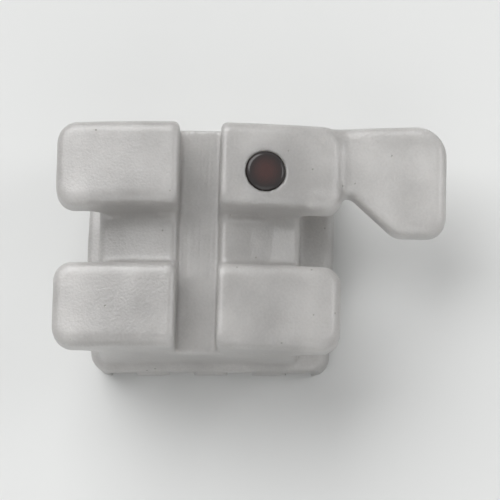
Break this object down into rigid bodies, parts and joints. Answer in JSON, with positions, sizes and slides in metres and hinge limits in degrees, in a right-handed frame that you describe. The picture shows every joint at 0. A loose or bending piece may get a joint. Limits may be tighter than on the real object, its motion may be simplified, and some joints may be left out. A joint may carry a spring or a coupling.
{
  "type": "orthodontic bracket",
  "caption": "One-piece translucent ceramic twin bracket with rounded tie wings, an open archwire slot, a curved grooved bonding pad, a gum-side hook and a round colour dot.",
  "frame": {"origin": "on the plane that the pad's rim stands on, under the middle of the archwire slot", "axes": "+X along the archwire slot towards the mesial side, +Y up the crown towards the gum and the hook, +Z out from the tooth towards the cheek"},
  "size_m": [0.0032, 0.0053, 0.0023],
  "materials": {
    "bracket_ceramic": "fired and lightly polished, translucent",
    "dot_colour": "cured colour, glossy"
  },
  "bodies": {
    "root": {"bracket_body": "bracket_ceramic", "id_dot": "dot_colour"}
  },
  "joints": []
}
